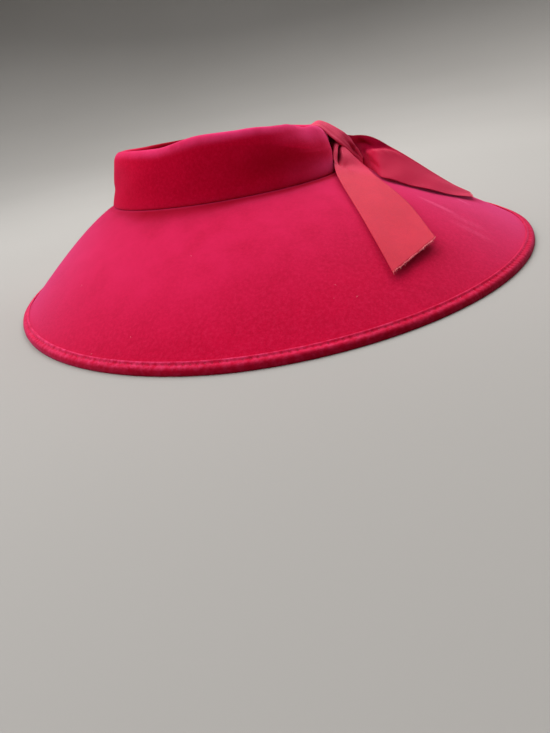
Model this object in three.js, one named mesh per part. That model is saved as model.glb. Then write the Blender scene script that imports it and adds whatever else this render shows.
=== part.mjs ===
// Wide-brim felt hat with a sunken crown and a ribbon bow over the front of the crown.
// Millimetres, +Z up. The wearer faces -Y and the wearer's left is +X. The floor is z = 0:
// the hat rests on the flat underside of the binding that wraps the brim's edge. The sizes are
// laid out from the line across the brim's widest place, and the finished hat is moved along Y
// so that the origin lies under its middle.
import * as THREE from 'three';

// ---- Driving dimensions ---------------------------------------------------------------
const FELT = 2.5;              // thickness of the felt, brim and crown alike
const GAP = 0.3;               // clearance between pieces that touch on the real hat

const BRIM = {
  halfWidth: 227,              // out to the binding's outer edge, along X
  frontLength: 220.5,          // along Y, from the brim's widest place
  backLength: 218.2,
  squareness: 1.91,            // 2 is an ellipse, a little less draws its shoulders in
  edgeHeight: 1,               // upper face at the edge; the binding reaches below it
  rise: 68,                    // upper face at the crown's foot
  frontCurve: 1.35,            // 1 is a straight cone, more is domed near the crown
  backCurve: 1.24,
};
const CROWN = {
  halfWidth: 82.8,             // outer face at the foot
  halfLength: 100.7,
  centreY: 24.6,               // the crown sits towards the back of the brim
  taperWidth: 8,               // how much each half size loses from foot to rim
  taperLength: 10,
  taperShift: 2.5,             // how far the rim's middle moves forward
  rimRadius: 4.5,              // the rim is a soft roll
  tipHeight: 90,               // upper face of the sunken tip
  tipCrown: 2,                 // the tip's middle stands this much higher
  foldSlope: 9,                // inward run of the fold from the rim down to the tip
};
const COLLAR = { height: 11, wall: 2 };      // the brim turned up inside the crown
const BINDING = { width: 8.8, bulge: 2.1, reach: 3.2 };
const RIBBON = { thickness: 1.2, clearance: 0.4 };

const SHIFT_Y = (BRIM.frontLength - BRIM.backLength) / 2;
const STEPS_AROUND = 72;       // sections round the hat, shared so that nested walls stay clear

// Height of the crown's rim above the floor. Bearing runs from the front, positive to the
// wearer's left. The wearer's right side stands up and the front dips under the bow.
const RIM_HEIGHT = [
  { bearing: -180, height: 109 },
  { bearing: -145, height: 110.2 },
  { bearing: -116, height: 109.6 },
  { bearing: -92, height: 113.8 },
  { bearing: -70, height: 112.4 },
  { bearing: -48, height: 110.2 },
  { bearing: -28, height: 103.5 },
  { bearing: 0, height: 100 },
  { bearing: 35, height: 101.5 },
  { bearing: 65, height: 104.4 },
  { bearing: 120, height: 106.6 },
  { bearing: 150, height: 107.4 },
];

// Hollows pressed into the crown's wall: how deep at the foot, half way up and at the rim.
const CROWN_DENTS = [
  { bearing: 0, spread: 18, foot: 8, middle: 6.6, rim: 6.3 },  // drawn in under the bow
  { bearing: -50, spread: 13, foot: 0, middle: 2.6, rim: 0 },  // soft dent, right side
  { bearing: 62, spread: 18, foot: 0, middle: 1.6, rim: 0.6 }, // soft dent, left side
  { bearing: 180, spread: 30, foot: -1.2, middle: -1.2, rim: -1.2 }, // fuller at the back
];

// The bow is one length of ribbon, caught under the strap. Each row is a line across it, from
// its back edge to its front edge. A lift is measured from the brim's upper face, or from the
// crown's foot inside that. Sag pulls the line's middle towards the felt.
const BOW_ROWS = [
  { backX: -163, backY: -97, backLift: 4.5, frontX: -125, frontY: -128.5, frontLift: 6.7, sag: 0 },
  { backX: -117, backY: -82, backLift: 1.7, frontX: -85, frontY: -114, frontLift: 2.8, sag: 0 },
  { backX: -65, backY: -71.6, backLift: 1.8, frontX: -49, frontY: -100.7, frontLift: 2.2, sag: 0 },
  { backX: -42, backY: -68.4, backLift: 3.2, frontX: -33.5, frontY: -96.3, frontLift: 2.2, sag: 0.5 },
  { backX: -30, backY: -67.8, backLift: 8.2, frontX: -14, frontY: -92.3, frontLift: 3, sag: 0.5 },
  { backX: -19, backY: -69.2, backLift: 13.5, frontX: -5, frontY: -89, frontLift: 4.2, sag: 0 },
  { backX: -8, backY: -71.4, backLift: 17, frontX: 2, frontY: -86.5, frontLift: 5, sag: 0 },
  { backX: 2, backY: -74.5, backLift: 18.5, frontX: 7, frontY: -86.5, frontLift: 4.5, sag: 0 },
  { backX: 10, backY: -79, backLift: 20.5, frontX: 11, frontY: -89.5, frontLift: 3.2, sag: 0 },
  { backX: 13, backY: -86, backLift: 22.5, frontX: 8, frontY: -94.5, frontLift: 2.6, sag: 0 },
  { backX: 9, backY: -94, backLift: 24.4, frontX: -8, frontY: -99.5, frontLift: 2.4, sag: 0 },
  { backX: 2, backY: -104.6, backLift: 24.4, frontX: -30, frontY: -105, frontLift: 2, sag: 0 },
  { backX: -1, backY: -118, backLift: 20.4, frontX: -38, frontY: -113.5, frontLift: 2, sag: 0 },
  { backX: 1, backY: -134, backLift: 14.6, frontX: -39, frontY: -128, frontLift: 2, sag: 0 },
  { backX: 6, backY: -149, backLift: 9.5, frontX: -34, frontY: -146, frontLift: 2, sag: 0 },
  { backX: 18, backY: -167, backLift: 4.6, frontX: -22, frontY: -164, frontLift: 2, sag: 0 },
  { backX: 31, backY: -182, backLift: 3, frontX: -9, frontY: -176.5, frontLift: 2.5, sag: 0 },
];

// The strap comes up out of the sunken crown, over the rim and down over the bow, leaning to
// the wearer's left. Each row is a line across it, from its right edge to its left edge.
const STRAP_ROWS = [
  { rightX: -8.5, rightY: -33, rightZ: 91.6, leftX: 8.5, leftY: -33, leftZ: 91.6 },
  { rightX: -8.5, rightY: -40, rightZ: 92.2, leftX: 8.5, leftY: -40, leftZ: 92.2 },
  { rightX: -8.5, rightY: -45, rightZ: 95, leftX: 8.5, leftY: -45, leftZ: 95 },
  { rightX: -8.2, rightY: -49, rightZ: 100.4, leftX: 8.2, leftY: -49, leftZ: 100.6 },
  { rightX: -8, rightY: -53.6, rightZ: 103, leftX: 8, leftY: -53.6, leftZ: 103.5 },
  { rightX: -8, rightY: -58.8, rightZ: 102.4, leftX: 8.3, leftY: -58.8, leftZ: 104 },
  { rightX: -8.3, rightY: -64.2, rightZ: 98.7, leftX: 8.5, leftY: -64.4, leftZ: 102.4 },
  { rightX: -8.3, rightY: -68.2, rightZ: 94, leftX: 8.5, leftY: -69.8, leftZ: 99 },
  { rightX: -8, rightY: -72.4, rightZ: 89.4, leftX: 9, leftY: -75.4, leftZ: 95.4 },
  { rightX: -7, rightY: -77.2, rightZ: 84.5, leftX: 10, leftY: -80.6, leftZ: 91 },
  { rightX: -5, rightY: -82.2, rightZ: 79.4, leftX: 10, leftY: -85.6, leftZ: 85.4 },
  { rightX: -3, rightY: -87.2, rightZ: 74.2, leftX: 7.5, leftY: -89.8, leftZ: 79 },
  { rightX: -1, rightY: -91.8, rightZ: 69.8, leftX: 4, leftY: -92.6, leftZ: 72.8 },
];

const FINISH = {
  felt: { color: 0xb51240, roughness: 0.85, metalness: 0 },
  bindingVelvet: { color: 0xa50f30, roughness: 0.7, metalness: 0 },
  grosgrain: { color: 0xcf4256, roughness: 0.55, metalness: 0 },
};

// ---- Helpers --------------------------------------------------------------------------
const radians = (degrees) => (degrees * Math.PI) / 180;
const clamp = (value, low, high) => Math.min(high, Math.max(low, value));

// Angle between two bearings in degrees, the short way round.
const turnBetween = (a, b) => ((a - b + 540) % 360) - 180;

// A smooth closed reading of a table of bearings, by cubic pieces with flat ends.
function readAround(rows, bearing, column) {
  const last = rows.length - 1;
  for (let i = 0; i <= last; i += 1) {
    const from = rows[i];
    const to = rows[i === last ? 0 : i + 1];
    const span = i === last ? to.bearing + 360 - from.bearing : to.bearing - from.bearing;
    const along = (((bearing - from.bearing) % 360) + 360) % 360;
    if (along <= span) {
      const k = along / span;
      return from[column] + (to[column] - from[column]) * k * k * (3 - 2 * k);
    }
  }
  return rows[0][column];
}

// A closed ring of skin: sections[i] holds the points of one closed section, in order.
function ringFromSections(sections) {
  const around = sections.length;
  const size = sections[0].length;
  const faces = [];
  for (let i = 0; i < around; i += 1) {
    const next = (i + 1) % around;
    for (let j = 0; j < size; j += 1) {
      const beside = (j + 1) % size;
      const a = i * size + j;
      const b = next * size + j;
      const c = next * size + beside;
      const d = i * size + beside;
      faces.push([a, b, c], [a, c, d]);
    }
  }
  return solid(sections.flat(), faces);
}

// An indexed geometry whose faces point out, whichever way round they were listed.
function solid(points, faces) {
  let volume = 0;
  for (const [a, b, c] of faces) {
    volume += points[a].dot(points[b].clone().cross(points[c])) / 6;
  }
  const outward = volume > 0 ? faces : faces.map(([a, b, c]) => [a, c, b]);
  const geometry = new THREE.BufferGeometry();
  geometry.setAttribute(
    'position', new THREE.Float32BufferAttribute(points.flatMap((p) => [p.x, p.y, p.z]), 3));
  geometry.setIndex(outward.flat());
  geometry.computeVertexNormals();
  return geometry;
}

function named(name, geometry, finish) {
  geometry.translate(0, SHIFT_Y, 0);
  const mesh = new THREE.Mesh(geometry, new THREE.MeshStandardMaterial(finish));
  mesh.name = name;
  return mesh;
}

// ---- Brim -----------------------------------------------------------------------------
function brimEdge(t) {
  const cos = Math.cos(t);
  const sin = Math.sin(t);
  const n = BRIM.squareness;
  const reach = (Math.abs(cos) ** n + Math.abs(sin) ** n) ** (-1 / n);
  const length = cos > 0 ? BRIM.frontLength : BRIM.backLength;
  return [BRIM.halfWidth * reach * sin, -length * reach * cos];
}

// Where the crown's wall stands on the brim.
function crownFoot(t) {
  const foot = crownPoint(t, 0, BRIM.rise);
  return [foot.x, foot.y];
}

// The brim's upper face: t is the bearing, s runs from the crown's foot (0) to the edge (1).
function brimTop(t, s) {
  const [footX, footY] = crownFoot(t);
  const [edgeX, edgeY] = brimEdge(t);
  return new THREE.Vector3(
    footX + (edgeX - footX) * s,
    footY + (edgeY - footY) * s,
    brimLevel(t, s),
  );
}

// Height of the upper face at s, domed near the crown and steeper towards the edge.
function brimLevel(t, s) {
  const frontness = (1 + Math.cos(t)) / 2;
  const curve = BRIM.backCurve + (BRIM.frontCurve - BRIM.backCurve) * frontness;
  return BRIM.edgeHeight + (BRIM.rise - BRIM.edgeHeight) * (1 - s ** curve);
}

function brimNormal(t, s) {
  const step = 1e-4;
  const from = Math.max(step, s);
  const along = brimTop(t, from + step).sub(brimTop(t, from - step));
  const around = brimTop(t + step, from).sub(brimTop(t - step, from));
  const normal = around.cross(along).normalize();
  return normal.z < 0 ? normal.negate() : normal;
}

// Height of the brim's upper face over a point in plan, level inside the crown's foot.
function brimHeight(x, y) {
  const start = Math.atan2(x / CROWN.halfWidth, (CROWN.centreY - y) / CROWN.halfLength);
  const side = (t) => {
    const [footX, footY] = crownFoot(t);
    const [edgeX, edgeY] = brimEdge(t);
    return (x - footX) * (edgeY - footY) - (y - footY) * (edgeX - footX);
  };
  let low = start - 0.6;
  let high = start + 0.6;
  const lowSign = Math.sign(side(low));
  for (let i = 0; i < 40; i += 1) {
    const middle = (low + high) / 2;
    if (Math.sign(side(middle)) === lowSign) low = middle;
    else high = middle;
  }
  const [footX, footY] = crownFoot(low);
  const [edgeX, edgeY] = brimEdge(low);
  const run = Math.hypot(edgeX - footX, edgeY - footY);
  const s = ((x - footX) * (edgeX - footX) + (y - footY) * (edgeY - footY)) / run ** 2;
  return brimLevel(low, clamp(s, 0, 1));
}

// The felt slab from the edge up to the crown's foot, and the collar turned up inside it.
function makeBrim() {
  const stations = [0, 0.07, 0.22, 0.42, 0.62, 0.82, 1];
  const collarOut = FELT + GAP;
  const collarIn = collarOut + COLLAR.wall;
  const sections = [];
  for (let i = 0; i < STEPS_AROUND; i += 1) {
    const t = (i / STEPS_AROUND) * 2 * Math.PI;
    const slope = brimTop(t, 1).distanceTo(brimTop(t, 0.99)) / 0.01;
    const last = 1 - (BINDING.reach + GAP) / slope;
    const upper = stations.map((s) => brimTop(t, s * last));
    const under = stations.map((s, k) => {
      const drop = brimNormal(t, s * last).multiplyScalar(FELT);
      return upper[k].clone().sub(drop);
    }).reverse();
    const foot = BRIM.rise;
    sections.push([
      crownPoint(t, collarIn, foot + COLLAR.height),
      crownPoint(t, collarOut, foot + COLLAR.height),
      crownPoint(t, collarOut, foot),
      ...upper,
      ...under,
      crownPoint(t, collarIn, foot - FELT),
    ]);
  }
  return ringFromSections(sections);
}

// A rolled strip round the brim's edge. Its section is given along the slope and square to it,
// from the edge's outermost point, and is cut off level at the floor.
function makeBinding() {
  const { width, bulge, reach } = BINDING;
  const half = FELT / 2;
  const slot = half + GAP;
  const section = [
    { along: -reach, square: slot },
    { along: -width, square: slot },
    { along: -width + 0.3, square: half + bulge * 0.7 },
    { along: -width * 0.55, square: half + bulge },
    { along: -width * 0.22, square: half + bulge * 0.72 },
    { along: -0.35, square: half * 0.8 },
    { along: 0, square: 0 },
    { along: -0.35, square: -half * 0.8 },
    { along: -width * 0.22, square: -half - bulge * 0.72 },
    { along: -width * 0.55, square: -half - bulge },
    { along: -width + 0.3, square: -half - bulge * 0.7 },
    { along: -width, square: -slot },
    { along: -reach, square: -slot },
  ];
  const sections = [];
  for (let i = 0; i < STEPS_AROUND; i += 1) {
    const t = (i / STEPS_AROUND) * 2 * Math.PI;
    const tip = brimTop(t, 1);
    const outward = tip.clone().sub(brimTop(t, 0.98)).normalize();
    const normal = brimNormal(t, 1);
    const middle = tip.clone().addScaledVector(normal, -half);
    const placed = section.map(({ along, square }) => middle.clone()
      .addScaledVector(outward, along).addScaledVector(normal, square));
    for (const p of placed) p.z = Math.max(0, p.z);
    sections.push(placed);
  }
  return ringFromSections(sections);
}

// ---- Crown ----------------------------------------------------------------------------
const rimHeight = (t) => readAround(RIM_HEIGHT, (t * 180) / Math.PI, 'height');

// How far the wall is pressed in at a bearing, k running from the foot (0) to the rim (1).
function dentDepth(t, k) {
  const bearing = (t * 180) / Math.PI;
  let depth = 0;
  for (const dent of CROWN_DENTS) {
    const off = turnBetween(bearing, dent.bearing) / dent.spread;
    const lower = dent.foot + (dent.middle - dent.foot) * k * 2;
    const upper = dent.middle + (dent.rim - dent.middle) * (k * 2 - 1);
    depth += (k < 0.5 ? lower : upper) * Math.exp(-off * off);
  }
  return depth;
}

// A point of the crown: inward is measured from the wall's outer face, and shrink scales the
// plan towards its middle, for the rings of the tip.
function crownPoint(t, inward, z, shrink = 1) {
  const foot = BRIM.rise;
  const k = clamp((z - foot) / (rimHeight(t) - foot), 0, 1);
  const depth = inward + dentDepth(t, k);
  const halfWidth = CROWN.halfWidth - CROWN.taperWidth * k - depth;
  const halfLength = CROWN.halfLength - CROWN.taperLength * k - depth;
  const centreY = CROWN.centreY - CROWN.taperShift * k;
  return new THREE.Vector3(
    halfWidth * Math.sin(t) * shrink,
    centreY - halfLength * Math.cos(t) * shrink,
    z,
  );
}

// One shell: wall, rolled rim, fold and sunken tip, with the hollow open below.
function makeCrown() {
  const foot = BRIM.rise + GAP;
  const { rimRadius, tipHeight, tipCrown, foldSlope } = CROWN;
  const innerRadius = rimRadius - FELT;
  const tipInward = 2 * rimRadius + foldSlope;
  const wallSteps = [0.3, 0.55, 0.8];
  const outerArc = [0, 35, 70, 105, 140, 175].map(radians);
  const innerArc = [175, 90, 5].map(radians);
  const tipRings = [
    { shrink: 0.7, share: 0.5 },
    { shrink: 0.35, share: 0.88 },
  ];
  const sections = [];
  for (let i = 0; i < STEPS_AROUND; i += 1) {
    const t = (i / STEPS_AROUND) * 2 * Math.PI;
    const axis = rimHeight(t) - rimRadius;
    const wallTop = axis - foot;
    const roll = (radius, angle) => crownPoint(
      t, rimRadius - radius * Math.cos(angle), axis + radius * Math.sin(angle));
    const foldZ = (axis + tipHeight) / 2;
    const section = [
      crownPoint(t, 1.3, foot),
      crownPoint(t, 0.2, foot + 0.9),
      ...wallSteps.map((share) => crownPoint(t, 0, foot + wallTop * share)),
      ...outerArc.map((angle) => roll(rimRadius, angle)),
      crownPoint(t, 2 * rimRadius + foldSlope * 0.35, foldZ),
      crownPoint(t, tipInward - 1.5, tipHeight + 1.2),
      crownPoint(t, tipInward + 2, tipHeight),
    ];
    const top = tipRings.map(({ shrink, share }) => crownPoint(
      t, tipInward + 2, tipHeight + tipCrown * share, shrink));
    const below = tipRings.map(({ shrink, share }) => crownPoint(
      t, tipInward + 2, tipHeight - FELT + tipCrown * share, shrink)).reverse();
    const hollow = [
      crownPoint(t, tipInward, tipHeight - FELT),
      crownPoint(t, tipInward - 3.4, tipHeight - FELT + 1.6),
      crownPoint(t, 2 * rimRadius + foldSlope * 0.35 - FELT, foldZ),
      ...innerArc.map((angle) => roll(innerRadius, angle)),
      crownPoint(t, FELT, foot + wallTop * 0.55),
      crownPoint(t, FELT, foot + wallTop * 0.3),
      crownPoint(t, FELT, foot + 0.4),
    ];
    sections.push([...section, ...top, ...below, ...hollow]);
  }
  const upperRing = 2 + wallSteps.length + outerArc.length + 3 + tipRings.length - 1;
  return discFromSections(sections, upperRing);
}

// Skins a shell whose sections stop short of the middle: the last ring above and the first
// ring below are each closed by a fan to a point on the axis.
function discFromSections(sections, upperRing) {
  const around = sections.length;
  const size = sections[0].length;
  const points = sections.flat();
  const lowerRing = upperRing + 1;
  const middleOf = (ring) => {
    const sum = new THREE.Vector3();
    for (const section of sections) sum.add(section[ring]);
    return sum.divideScalar(around);
  };
  const upperMiddle = points.push(middleOf(upperRing)) - 1;
  const lowerMiddle = points.push(middleOf(lowerRing)) - 1;
  const faces = [];
  for (let i = 0; i < around; i += 1) {
    const next = (i + 1) % around;
    for (let j = 0; j < size; j += 1) {
      const beside = (j + 1) % size;
      const a = i * size + j;
      const b = next * size + j;
      const c = next * size + beside;
      const d = i * size + beside;
      if (j === upperRing) {
        faces.push([a, b, upperMiddle], [lowerMiddle, c, d]);
      } else {
        faces.push([a, b, c], [a, c, d]);
      }
    }
  }
  return solid(points, faces);
}

// ---- Ribbon ---------------------------------------------------------------------------
// A flat strip between two edge curves, with one thickness and a soft sag across it. Each
// line across is { right, left, sag }, and rest() gives the lowest height over a point.
function makeStrip(lines, { stepsAlong, stepsAcross, sagWay, rest }) {
  const right = new THREE.CatmullRomCurve3(lines.map((line) => line.right));
  const left = new THREE.CatmullRomCurve3(lines.map((line) => line.left));
  const sagAt = (share) => {
    const place = share * (lines.length - 1);
    const i = Math.min(lines.length - 2, Math.floor(place));
    return lines[i].sag + (lines[i + 1].sag - lines[i].sag) * (place - i);
  };
  const grid = [];
  for (let i = 0; i <= stepsAlong; i += 1) {
    const share = i / stepsAlong;
    const from = right.getPoint(share);
    const to = left.getPoint(share);
    const row = [];
    for (let j = 0; j <= stepsAcross; j += 1) {
      const k = j / stepsAcross;
      const point = from.clone().lerp(to, k);
      point.addScaledVector(sagWay, sagAt(share) * 4 * k * (1 - k));
      point.z = Math.max(point.z, rest(point.x, point.y));
      row.push(point);
    }
    grid.push(row);
  }
  return thicken(grid, RIBBON.thickness);
}

// Gives a grid of points a thickness along its own normals and closes its four edges.
function thicken(grid, thickness) {
  const rows = grid.length;
  const columns = grid[0].length;
  const points = [];
  for (const side of [0.5, -0.5]) {
    for (let i = 0; i < rows; i += 1) {
      for (let j = 0; j < columns; j += 1) {
        const along = grid[Math.min(rows - 1, i + 1)][j].clone()
          .sub(grid[Math.max(0, i - 1)][j]);
        const across = grid[i][Math.min(columns - 1, j + 1)].clone()
          .sub(grid[i][Math.max(0, j - 1)]);
        const normal = along.cross(across).normalize();
        points.push(grid[i][j].clone().addScaledVector(normal, side * thickness));
      }
    }
  }
  const at = (i, j, side) => side * rows * columns + i * columns + j;
  const faces = [];
  const quad = (a, b, c, d) => faces.push([a, b, c], [a, c, d]);
  for (let i = 0; i < rows - 1; i += 1) {
    for (let j = 0; j < columns - 1; j += 1) {
      quad(at(i, j, 0), at(i + 1, j, 0), at(i + 1, j + 1, 0), at(i, j + 1, 0));
      quad(at(i, j, 1), at(i, j + 1, 1), at(i + 1, j + 1, 1), at(i + 1, j, 1));
    }
    quad(at(i, 0, 0), at(i, 0, 1), at(i + 1, 0, 1), at(i + 1, 0, 0));
    const end = columns - 1;
    quad(at(i, end, 0), at(i + 1, end, 0), at(i + 1, end, 1), at(i, end, 1));
  }
  for (let j = 0; j < columns - 1; j += 1) {
    quad(at(0, j, 0), at(0, j + 1, 0), at(0, j + 1, 1), at(0, j, 1));
    const end = rows - 1;
    quad(at(end, j, 0), at(end, j, 1), at(end, j + 1, 1), at(end, j + 1, 0));
  }
  return solid(points, faces);
}

const onBrim = (x, y, lift) => new THREE.Vector3(x, y, brimHeight(x, y) + lift);
const restOnBrim = (x, y) => brimHeight(x, y) + RIBBON.clearance + RIBBON.thickness / 2;

function makeBow() {
  const lines = BOW_ROWS.map((row) => ({
    right: onBrim(row.frontX, row.frontY, row.frontLift),
    left: onBrim(row.backX, row.backY, row.backLift),
    sag: row.sag,
  }));
  return makeStrip(lines, {
    stepsAlong: 60,
    stepsAcross: 4,
    sagWay: new THREE.Vector3(0, 0.6, -0.8),
    rest: restOnBrim,
  });
}

function makeStrap() {
  const lines = STRAP_ROWS.map((row) => ({
    right: new THREE.Vector3(row.rightX, row.rightY, row.rightZ),
    left: new THREE.Vector3(row.leftX, row.leftY, row.leftZ),
    sag: 0,
  }));
  return makeStrip(lines, {
    stepsAlong: 33,
    stepsAcross: 2,
    sagWay: new THREE.Vector3(0, 0, -1),
    rest: restOnBrim,
  });
}

// ---- The hat --------------------------------------------------------------------------
const hat = new THREE.Group();
hat.add(
  named('brim', makeBrim(), FINISH.felt),
  named('brim_binding', makeBinding(), FINISH.bindingVelvet),
  named('crown', makeCrown(), FINISH.felt),
  named('ribbon_bow', makeBow(), FINISH.grosgrain),
  named('ribbon_strap', makeStrap(), FINISH.grosgrain),
);

export default hat;
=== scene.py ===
import math

import bpy
import numpy as np
from mathutils import Matrix, Vector


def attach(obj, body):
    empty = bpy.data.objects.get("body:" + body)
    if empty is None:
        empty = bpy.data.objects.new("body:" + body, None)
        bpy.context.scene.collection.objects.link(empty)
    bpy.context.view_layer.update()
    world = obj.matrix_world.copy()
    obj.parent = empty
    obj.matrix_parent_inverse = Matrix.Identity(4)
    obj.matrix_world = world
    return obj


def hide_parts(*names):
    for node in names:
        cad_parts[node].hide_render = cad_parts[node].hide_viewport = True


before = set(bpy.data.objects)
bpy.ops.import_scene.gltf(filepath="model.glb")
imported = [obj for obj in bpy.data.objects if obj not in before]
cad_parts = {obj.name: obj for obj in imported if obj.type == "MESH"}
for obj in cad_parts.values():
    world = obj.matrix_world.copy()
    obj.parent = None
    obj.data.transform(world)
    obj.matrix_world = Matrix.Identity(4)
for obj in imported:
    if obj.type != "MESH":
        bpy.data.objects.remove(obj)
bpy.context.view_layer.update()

MM = 0.001
SEED = 41
AROUND = 420  # sections round the brim and round the crown

# ---- Sizes shared with the solids ----
FELT = 2.5  # thickness of the felt
GAP = 0.3  # clearance between pieces that touch
BRIM_HALF_WIDTH = 227
BRIM_FRONT_LENGTH = 220.5  # from the brim's widest place
BRIM_BACK_LENGTH = 218.2
BRIM_SQUARENESS = 1.91  # 2 is an ellipse
BRIM_EDGE_HEIGHT = 1  # upper face at the edge
BRIM_RISE = 68  # upper face at the crown's foot
BRIM_FRONT_CURVE = 1.35  # 1 is a straight cone, more is domed near the crown
BRIM_BACK_CURVE = 1.24
SHIFT_Y = (BRIM_FRONT_LENGTH - BRIM_BACK_LENGTH) / 2

CROWN_HALF_WIDTH = 82.8  # outer face at the foot
CROWN_HALF_LENGTH = 100.7
CROWN_CENTRE_Y = 24.6
TAPER_WIDTH = 8  # what each half size loses from foot to rim
TAPER_LENGTH = 10
TAPER_SHIFT = 2.5  # how far the rim's middle moves forward
RIM_RADIUS = 4.5
TIP_HEIGHT = 90  # upper face of the sunken tip
TIP_CROWN = 2  # the tip's middle stands this much higher
FOLD_SLOPE = 9  # inward run of the fold from the rim down to the tip
COLLAR_HEIGHT = 11
COLLAR_WALL = 2
BINDING_REACH = 3.2  # how far the binding's slot takes in the brim's edge

# The next tables follow the solids, but the crown's front corner is rounded off more here, by
# up to about 4 mm, and the ribbon's lines are moved to where its folds and seats need them.
RIM_HEIGHT = [  # bearing, height above the floor
    (-180, 109), (-145, 110.2), (-116, 109.6), (-92, 113.8), (-70, 112.6), (-48, 110),
    (-28, 104.8), (0, 100), (35, 101.5), (65, 104.4), (120, 106.6), (150, 107.4),
]
SHOULDER = [  # bearing, height over which the wall bends in to the rim
    (-180, 7), (-90, 7), (-62, 11), (-42, 17), (-22, 14), (6, 8),
]
CROWN_DENTS = [  # bearing, spread, depth at the foot, half way up, at the rim
    (0, 18, 8, 6.6, 6.3), (-36, 17, 0, 1.2, 5.4), (62, 18, 0, 1.6, 0.6),
    (180, 30, -1.2, -1.2, -1.2),
]
# Lines across the bow's ribbon, from the near tail's end over the knot to the far tail's end:
# back edge x, y, lift off the brim, front edge x, y, lift, sag.
BOW_ROWS = [
    (-163, -97, 4.5, -125, -128.5, 6.7, 0), (-116.6, -84.4, 3.2, -83.6, -117.2, 3.4, 0),
    (-64.5, -70.6, 3.6, -49, -100.7, 3, 0), (-42, -67.8, 4.8, -33.5, -96.3, 2.8, 0.5),
    (-30, -67.1, 7.8, -12, -92.3, 3.2, 0.5), (-19, -68.5, 13.5, -4, -86.7, 6.8, 0),
    (-9, -71, 18, 3, -81.2, 10.3, 0), (0, -73.7, 19, 7, -78, 13.2, 0),
    (25, -82.7, 22.8, 10, -92.5, 1.4, 0), (15, -93.6, 25.5, -14, -98, 1.8, 0),
    (5, -104.6, 24.8, -36, -103, 2, 0), (0, -118, 20.4, -39, -113, 2, 0),
    (1, -134, 14.6, -39, -128, 2, 0), (6, -149, 9.5, -34, -146, 2, 0),
    (18, -167, 4.6, -22, -164, 2, 0), (31, -182, 3, -9, -176.5, 2.5, 0),
]
# Lines across the strap, from inside the crown over the rim to its tucked end: right edge
# x, y, z, left edge x, y, z.
STRAP_ROWS = [
    (-8.5, -33, 91.6, 8.5, -33, 91.6), (-8.5, -40, 92.2, 8.5, -40, 92.2),
    (-8.5, -45, 95.2, 8.5, -45, 95.2), (-8.2, -49, 100.3, 8.2, -49, 100.5),
    (-8, -53, 102.2, 8, -53, 103.3), (-8, -57.7, 101.6, 8.3, -57.7, 105),
    (-8.5, -62.7, 97.4, 8.5, -63.2, 103.2), (-8.5, -66.9, 92.8, 8.5, -69.5, 99.4),
    (-8, -70.9, 88.8, 10, -74.8, 95.4), (-4, -74.9, 84.4, 14, -78.6, 92),
    (4, -79.4, 78.8, 19, -82.4, 87.5), (9, -83.4, 73.8, 22, -84.9, 82),
    (10, -87.3, 69.6, 19, -87.8, 77.8), (8, -90.6, 66, 12.5, -91.2, 70.9),
]

# ---- Sizes that only the looks need ----
RIBBON_THICKNESS = 0.5
RIBBON_WIDTH = 43
STRAP_WIDTH = 21.5  # the same ribbon folded in two
RIBBON_CLEARANCE = 0.35
BOW_STEPS, STRAP_STEPS = (400, 72), (170, 40)  # steps along and across
STITCHES = 312  # hand stitches round the edge binding
STITCH_STEPS = 6  # sections of the binding for each stitch
WANDER_STEPS = 30  # sections between two heights of its uneven stuffing

# The binding's section, on top from its inner edge out and then back below: along the slope
# from the brim's edge, and square to it from the middle of the felt.
SLOT = FELT / 2 + GAP
BINDING_SECTION = [
    (-8.8, SLOT), (-8.95, 1.8), (-8.8, 2.25), (-8.4, 2.58), (-7.9, 2.68), (-7.4, 2.5),
    (-6.95, 2.36), (-6.5, 2.3), (-6.05, 2.4), (-5.5, 2.62), (-4.8, 2.9), (-3.9, 3.1),
    (-3, 3), (-2.1, 2.6), (-1.3, 1.95), (-0.55, 1.1), (0, 0),
    (-0.5, -1.15), (-1.2, -2.05), (-2, -2.75), (-3.2, -3.25), (-4.6, -3.3),
    (-5.9, -2.7), (-7, -2.85), (-8.2, -2.8), (-8.9, -2.2), (-8.8, -SLOT),
    (-BINDING_REACH, -SLOT), (-BINDING_REACH, SLOT),
]
STITCH_POINT = 7  # the point of that section where the stitches lie
PINCHED = range(1, 14)  # the points that a stitch draws in
SWOLLEN = range(5, 16)  # the points of the outer ridge, which swells in between
# Painted highlight and painted shade round the binding's section: point, highlight, and point,
# shade.
BINDING_RUBBED = [(0, 0.6), (3, 1), (4, 1), (5, 0.8), (7, 0.5), (9, 0.55), (11, 0.5), (13, 0)]
BINDING_LAID = [(10, 0), (13, 0.7), (16, 1), (24, 1), (26, 0)]

# Nap crushed on the brim: from x, y, to x, y, half width, strength.
CRUSH_MARKS = [
    (-58, -128, -70, -152, 1.5, 0.85), (-72, -146, -82, -170, 4, 0.22),
    (-28, -160, -34, -168, 1.8, 0.8), (-84, -146, -96, -172, 3, 0.25),
]
# Painted shade on the brim beside the crown: bearing, width from its foot, strength.
FOOT_SHADE = [
    (-180, 6, 0.45), (-150, 8, 0.55), (-134, 13, 0.62), (-120, 24, 0.86), (-99, 25, 0.82),
    (-90, 22, 0.9), (-75, 14, 0.88), (-60, 13, 0.9), (-48, 9, 1), (-30, 9, 1), (10, 6, 0.5),
    (180, 6, 0.45),
]
RIM_NAP = [  # bearing, width of the painted highlight along the crown's rim
    (-180, 4), (-150, 3.8), (-125, 4.8), (-98, 6.2), (-72, 4.9), (-40, 5.2), (0, 5), (180, 4.6),
]
CROWN_NAP_SHARE = [  # bearing, share of the crown's painted highlight that is kept there
    (-180, 0.38), (-145, 0.38), (-112, 0.95), (30, 1), (60, 0.1), (150, 0.1), (180, 0.38),
]
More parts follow.
